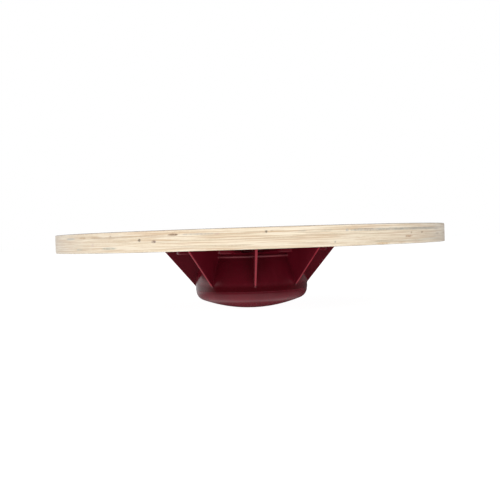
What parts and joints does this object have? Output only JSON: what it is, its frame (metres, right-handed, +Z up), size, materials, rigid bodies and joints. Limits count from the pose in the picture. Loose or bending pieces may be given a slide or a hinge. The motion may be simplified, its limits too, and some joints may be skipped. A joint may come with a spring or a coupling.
{
  "type": "balance board",
  "caption": "Round plywood balance board on a ribbed moulded fulcrum with a domed foot that rocks on the floor.",
  "frame": {"origin": "centre of the dome's small flat foot, on the axis of symmetry, at floor level", "axes": "+Z is up, along the axis from the foot to the standing surface; +X runs along one rib, and the ribs stand every 45 degrees from it"},
  "size_m": [0.406, 0.406, 0.082],
  "materials": {
    "birch_plywood": "clear lacquered birch plywood with raw-looking sanded edge plies",
    "dark_film": "thin dark phenolic film with a fine anti-slip texture",
    "maroon_plastic": "glossy injection-moulded maroon plastic",
    "zinc_screw": "bright zinc plated"
  },
  "bodies": {
    "root": {"plywood_deck": "birch_plywood", "anti_slip_film": "dark_film", "mounting_plate": "maroon_plastic", "ribbed_skirt": "maroon_plastic", "rolling_dome": "maroon_plastic", "clamp_screw_1": "zinc_screw", "clamp_screw_2": "zinc_screw", "clamp_screw_3": "zinc_screw", "clamp_screw_4": "zinc_screw", "deck_screw_1": "zinc_screw", "deck_screw_2": "zinc_screw", "deck_screw_3": "zinc_screw", "deck_screw_4": "zinc_screw", "deck_screw_5": "zinc_screw", "deck_screw_6": "zinc_screw", "deck_screw_7": "zinc_screw", "deck_screw_8": "zinc_screw"}
  },
  "joints": []
}
